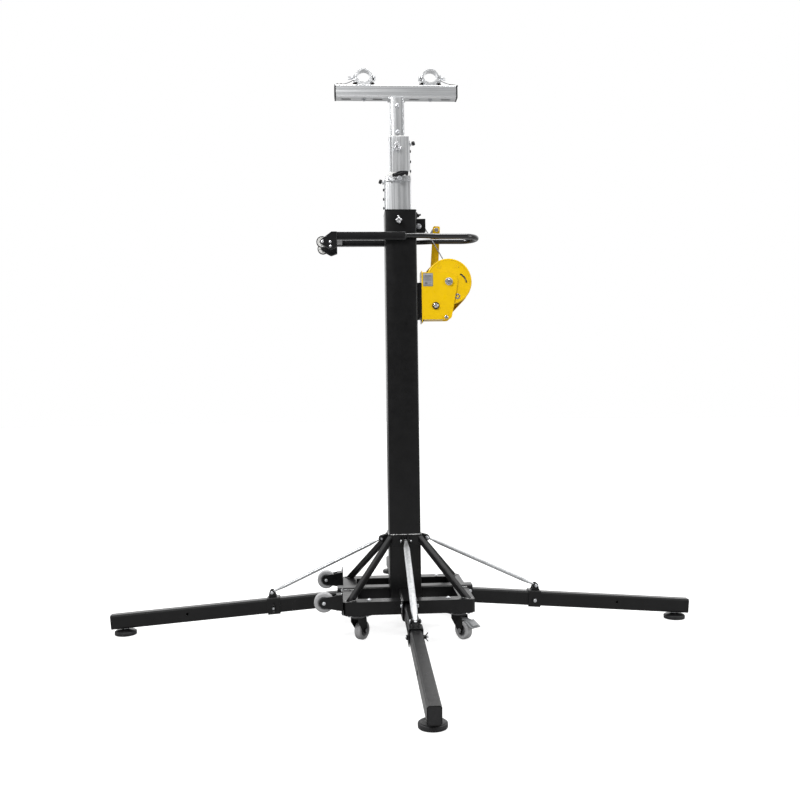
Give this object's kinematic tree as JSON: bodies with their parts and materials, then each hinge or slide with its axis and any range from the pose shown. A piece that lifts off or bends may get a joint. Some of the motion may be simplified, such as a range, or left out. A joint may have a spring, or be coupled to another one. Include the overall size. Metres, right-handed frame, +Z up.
{
  "type": "crank lighting stand",
  "caption": "Telescopic lighting stand wound up by a side winch, with a T-bar and pipe clamps on top and a wheeled base with long braced legs.",
  "frame": {"origin": "on the floor, under the axis of the outer mast, at the centre of the four feet", "axes": "+Z up along the mast, -Y towards the front leg, +X towards the winch"},
  "size_m": [2.0594, 2.0594, 1.9835],
  "materials": {
    "black_coat": "satin black powder coat",
    "gloss_black": "glossy black paint",
    "yellow_coat": "golden yellow powder coat",
    "bare_aluminium": "mill-finish aluminium with long drawn streaks",
    "bright_zinc": "bright zinc plate",
    "chrome": "bright chrome",
    "plain_steel": "bare galvanised steel",
    "grey_rubber": "grey non-marking rubber",
    "black_rubber": "black moulded rubber",
    "grip_plastic": "black moulded plastic",
    "lever_black": "black moulded plastic",
    "pedal_grey": "grey coated steel"
  },
  "bodies": {
    "base": {"outer_mast": "black_coat", "base_frame": "black_coat", "strut_frame": "black_coat", "push_handle": "gloss_black", "side_wheel_fork_front": "black_coat", "side_wheel_fork_rear": "black_coat", "winch_frame": "yellow_coat", "gear_cover": "yellow_coat", "hoist_cable": "plain_steel"},
    "section_2": {"mast_section_2": "bare_aluminium", "cable_run_2": "plain_steel"},
    "section_3": {"mast_section_3": "bare_aluminium", "cable_run_3": "plain_steel"},
    "section_4": {"mast_section_4": "bare_aluminium", "t_bar": "bare_aluminium", "clamp_lower_left": "bare_aluminium", "clamp_lower_right": "bare_aluminium"},
    "clamp_left": {"clamp_upper_left": "bare_aluminium"},
    "clamp_right": {"clamp_upper_right": "bare_aluminium"},
    "drum": {"winch_drum": "yellow_coat"},
    "crank": {"crank_arm": "yellow_coat"},
    "grip": {"crank_grip": "grip_plastic"},
    "head_pulley": {"head_pulley": "plain_steel"},
    "foot_sheave_2": {"foot_sheave_2": "plain_steel"},
    "foot_sheave_3": {"foot_sheave_3": "plain_steel"},
    "top_sheave_2": {"top_sheave_2": "plain_steel"},
    "top_sheave_3": {"top_sheave_3": "plain_steel"},
    "knob_outer": {"lock_knob_outer": "chrome"},
    "knob_section_3": {"lock_knob_section_3": "chrome"},
    "lever": {"lock_lever": "lever_black"},
    "handle_wheel_front": {"handle_wheel_front": "black_rubber"},
    "handle_wheel_rear": {"handle_wheel_rear": "black_rubber"},
    "side_wheel_front": {"side_wheel_front": "grey_rubber"},
    "side_wheel_rear": {"side_wheel_rear": "grey_rubber"},
    "leg_right": {"leg_right": "black_coat", "foot_pad_right": "black_rubber"},
    "brace_right": {"leg_brace_right": "bright_zinc"},
    "saddle_right": {"leg_saddle_right": "black_coat"},
    "leg_rear": {"leg_rear": "black_coat", "foot_pad_rear": "black_rubber"},
    "brace_rear": {"leg_brace_rear": "bright_zinc"},
    "saddle_rear": {"leg_saddle_rear": "black_coat"},
    "leg_left": {"leg_left": "black_coat", "foot_pad_left": "black_rubber"},
    "brace_left": {"leg_brace_left": "bright_zinc"},
    "saddle_left": {"leg_saddle_left": "black_coat"},
    "leg_front": {"leg_front": "black_coat", "foot_pad_front": "black_rubber"},
    "brace_front": {"leg_brace_front": "bright_zinc"},
    "saddle_front": {"leg_saddle_front": "black_coat"},
    "caster_front_left": {"caster_fork_front_left": "black_coat"},
    "caster_wheel_front_left": {"caster_wheel_front_left": "grey_rubber"},
    "caster_front_right": {"caster_fork_front_right": "black_coat"},
    "caster_wheel_front_right": {"caster_wheel_front_right": "grey_rubber"},
    "pedal_front_right": {"brake_pedal_front_right": "pedal_grey"},
    "caster_rear_left": {"caster_fork_rear_left": "black_coat"},
    "caster_wheel_rear_left": {"caster_wheel_rear_left": "grey_rubber"},
    "pedal_rear_left": {"brake_pedal_rear_left": "pedal_grey"},
    "caster_rear_right": {"caster_fork_rear_right": "black_coat"},
    "caster_wheel_rear_right": {"caster_wheel_rear_right": "grey_rubber"}
  },
  "joints": [
    {"name": "crank_turn", "type": "hinge", "parent": "base", "child": "crank", "pos_m": [0.1204, 0, 1.137], "axis": [0, -1, 0], "range_deg": [0, 25920]},
    {"name": "drum_turn", "type": "hinge", "parent": "base", "child": "drum", "pos_m": [0.168, 0, 1.2225], "axis": [0, 1, 0], "range_deg": [0, 6480]},
    {"name": "lift_2", "type": "slide", "parent": "base", "child": "section_2", "axis": [0, 0, 1], "range_m": [0, 1.15]},
    {"name": "lift_3", "type": "slide", "parent": "section_2", "child": "section_3", "axis": [0, 0, 1], "range_m": [0, 1.15]},
    {"name": "lift_4", "type": "slide", "parent": "section_3", "child": "section_4", "axis": [0, 0, 1], "range_m": [0, 1.15]},
    {"name": "head_pulley_turn", "type": "hinge", "parent": "base", "child": "head_pulley", "pos_m": [0.0665, 0, 1.422], "axis": [0, 1, 0], "continuous": true},
    {"name": "foot_sheave_2_turn", "type": "hinge", "parent": "section_2", "child": "foot_sheave_2", "pos_m": [0.0035, 0, 0.2], "axis": [0, 1, 0], "continuous": true},
    {"name": "foot_sheave_3_turn", "type": "hinge", "parent": "section_3", "child": "foot_sheave_3", "pos_m": [-0.008, 0.018, 0.304], "axis": [0, 1, 0], "continuous": true},
    {"name": "top_sheave_2_turn", "type": "hinge", "parent": "section_2", "child": "top_sheave_2", "pos_m": [-0.0415, 0.009, 1.522], "axis": [1, 0, 0], "continuous": true},
    {"name": "top_sheave_3_turn", "type": "hinge", "parent": "section_3", "child": "top_sheave_3", "pos_m": [0.0255, 0.009, 1.68], "axis": [1, 0, 0], "continuous": true},
    {"name": "grip_spin", "type": "hinge", "parent": "crank", "child": "grip", "pos_m": [0.1395, 0, 1.428], "axis": [0, 1, 0], "continuous": true},
    {"name": "clamp_left_open", "type": "hinge", "parent": "section_4", "child": "clamp_left", "pos_m": [-0.0852, 0, 1.9525], "axis": [0, 1, 0], "range_deg": [0, 100]},
    {"name": "clamp_right_open", "type": "hinge", "parent": "section_4", "child": "clamp_right", "pos_m": [0.0782, 0, 1.9525], "axis": [0, -1, 0], "range_deg": [0, 100]},
    {"name": "knob_outer_pull", "type": "slide", "parent": "base", "child": "knob_outer", "axis": [0, -1, 0], "range_m": [0, 0.008], "stiffness_N_per_m": 300, "springref_m": -0.004},
    {"name": "knob_section_3_pull", "type": "slide", "parent": "section_3", "child": "knob_section_3", "axis": [0, -1, 0], "range_m": [0, 0.008], "stiffness_N_per_m": 300, "springref_m": -0.004},
    {"name": "lever_turn", "type": "hinge", "parent": "section_2", "child": "lever", "pos_m": [-0.004, -0.06, 1.581], "axis": [0, -1, 0], "range_deg": [0, 75]},
    {"name": "handle_wheel_front_spin", "type": "hinge", "parent": "base", "child": "handle_wheel_front", "pos_m": [-0.2757, -0.07, 1.3576], "axis": [0, 1, 0], "continuous": true},
    {"name": "handle_wheel_rear_spin", "type": "hinge", "parent": "base", "child": "handle_wheel_rear", "pos_m": [-0.2757, 0.07, 1.3576], "axis": [0, 1, 0], "continuous": true},
    {"name": "side_wheel_front_spin", "type": "hinge", "parent": "base", "child": "side_wheel_front", "pos_m": [-0.283, -0.19, 0.136], "axis": [0, 1, 0], "continuous": true},
    {"name": "side_wheel_rear_spin", "type": "hinge", "parent": "base", "child": "side_wheel_rear", "pos_m": [-0.283, 0.19, 0.136], "axis": [0, 1, 0], "continuous": true},
    {"name": "leg_right_slide", "type": "slide", "parent": "base", "child": "leg_right", "axis": [0.9971, 0, -0.0765], "range_m": [0, 0.1]},
    {"name": "brace_right_lift", "type": "hinge", "parent": "base", "child": "brace_right", "pos_m": [0.081, 0, 0.315], "axis": [0, -1, 0], "range_deg": [0, 105]},
    {"name": "saddle_right_level", "type": "hinge", "parent": "brace_right", "child": "saddle_right", "pos_m": [0.47, 0, 0.134], "axis": [0, -1, 0], "range_deg": [-42, 0]},
    {"name": "leg_rear_slide", "type": "slide", "parent": "base", "child": "leg_rear", "axis": [0, 0.9971, -0.0765], "range_m": [0, 0.1]},
    {"name": "brace_rear_lift", "type": "hinge", "parent": "base", "child": "brace_rear", "pos_m": [0, 0.081, 0.315], "axis": [1, 0, 0], "range_deg": [0, 105]},
    {"name": "saddle_rear_level", "type": "hinge", "parent": "brace_rear", "child": "saddle_rear", "pos_m": [0, 0.47, 0.134], "axis": [1, 0, 0], "range_deg": [-42, 0]},
    {"name": "leg_left_slide", "type": "slide", "parent": "base", "child": "leg_left", "axis": [-0.9971, 0, -0.0765], "range_m": [0, 0.1]},
    {"name": "brace_left_lift", "type": "hinge", "parent": "base", "child": "brace_left", "pos_m": [-0.081, 0, 0.315], "axis": [0, 1, 0], "range_deg": [0, 105]},
    {"name": "saddle_left_level", "type": "hinge", "parent": "brace_left", "child": "saddle_left", "pos_m": [-0.47, 0, 0.134], "axis": [0, 1, 0], "range_deg": [-42, 0]},
    {"name": "leg_front_slide", "type": "slide", "parent": "base", "child": "leg_front", "axis": [0, -0.9971, -0.0765], "range_m": [0, 0.1]},
    {"name": "brace_front_lift", "type": "hinge", "parent": "base", "child": "brace_front", "pos_m": [0, -0.081, 0.315], "axis": [-1, 0, 0], "range_deg": [0, 105]},
    {"name": "saddle_front_level", "type": "hinge", "parent": "brace_front", "child": "saddle_front", "pos_m": [0, -0.47, 0.134], "axis": [-1, 0, 0], "range_deg": [-42, 0]},
    {"name": "caster_front_left_swivel", "type": "hinge", "parent": "base", "child": "caster_front_left", "pos_m": [-0.17, -0.175, 0.0914], "axis": [0, 0, 1], "continuous": true},
    {"name": "caster_front_left_roll", "type": "hinge", "parent": "caster_front_left", "child": "caster_wheel_front_left", "pos_m": [-0.15738, -0.15698, 0.0315], "axis": [-0.8192, 0.5736, 0], "continuous": true},
    {"name": "caster_front_right_swivel", "type": "hinge", "parent": "base", "child": "caster_front_right", "pos_m": [0.17, -0.175, 0.0914], "axis": [0, 0, 1], "continuous": true},
    {"name": "caster_front_right_roll", "type": "hinge", "parent": "caster_front_right", "child": "caster_wheel_front_right", "pos_m": [0.18324, -0.19257, 0.0315], "axis": [0.7986, 0.6018, 0], "continuous": true},
    {"name": "pedal_front_right_press", "type": "hinge", "parent": "caster_front_right", "child": "pedal_front_right", "pos_m": [0.1712, -0.1766, 0.071], "axis": [0.7986, 0.6018, 0], "range_deg": [0, 6]},
    {"name": "caster_rear_left_swivel", "type": "hinge", "parent": "base", "child": "caster_rear_left", "pos_m": [-0.17, 0.175, 0.0914], "axis": [0, 0, 1], "continuous": true},
    {"name": "caster_rear_left_roll", "type": "hinge", "parent": "caster_rear_left", "child": "caster_wheel_rear_left", "pos_m": [-0.18685, 0.18914, 0.0315], "axis": [-0.6428, -0.766, 0], "continuous": true},
    {"name": "pedal_rear_left_press", "type": "hinge", "parent": "caster_rear_left", "child": "pedal_rear_left", "pos_m": [-0.17153, 0.17629, 0.071], "axis": [-0.6428, -0.766, 0], "range_deg": [0, 6]},
    {"name": "caster_rear_right_swivel", "type": "hinge", "parent": "base", "child": "caster_rear_right", "pos_m": [0.17, 0.175, 0.0914], "axis": [0, 0, 1], "continuous": true},
    {"name": "caster_rear_right_roll", "type": "hinge", "parent": "caster_rear_right", "child": "caster_wheel_rear_right", "pos_m": [0.18994, 0.1843, 0.0315], "axis": [-0.4226, 0.9063, 0], "continuous": true}
  ],
  "couplings": [
    {"joint": "drum_turn", "follows": "crank_turn", "ratio": 0.25},
    {"joint": "lift_2", "follows": "crank_turn", "m_per_rad": 0.0025421},
    {"joint": "lift_3", "follows": "crank_turn", "m_per_rad": 0.0025421},
    {"joint": "lift_4", "follows": "crank_turn", "m_per_rad": 0.0025421},
    {"joint": "head_pulley_turn", "follows": "crank_turn", "ratio": 0.42368},
    {"joint": "foot_sheave_2_turn", "follows": "crank_turn", "ratio": -0.11298},
    {"joint": "foot_sheave_3_turn", "follows": "crank_turn", "ratio": 0.075882},
    {"joint": "top_sheave_2_turn", "follows": "crank_turn", "ratio": 0.5649},
    {"joint": "top_sheave_3_turn", "follows": "crank_turn", "ratio": -0.28245},
    {"joint": "saddle_right_level", "follows": "brace_right_lift", "ratio": -0.4},
    {"joint": "saddle_rear_level", "follows": "brace_rear_lift", "ratio": -0.4},
    {"joint": "saddle_left_level", "follows": "brace_left_lift", "ratio": -0.4},
    {"joint": "saddle_front_level", "follows": "brace_front_lift", "ratio": -0.4}
  ]
}
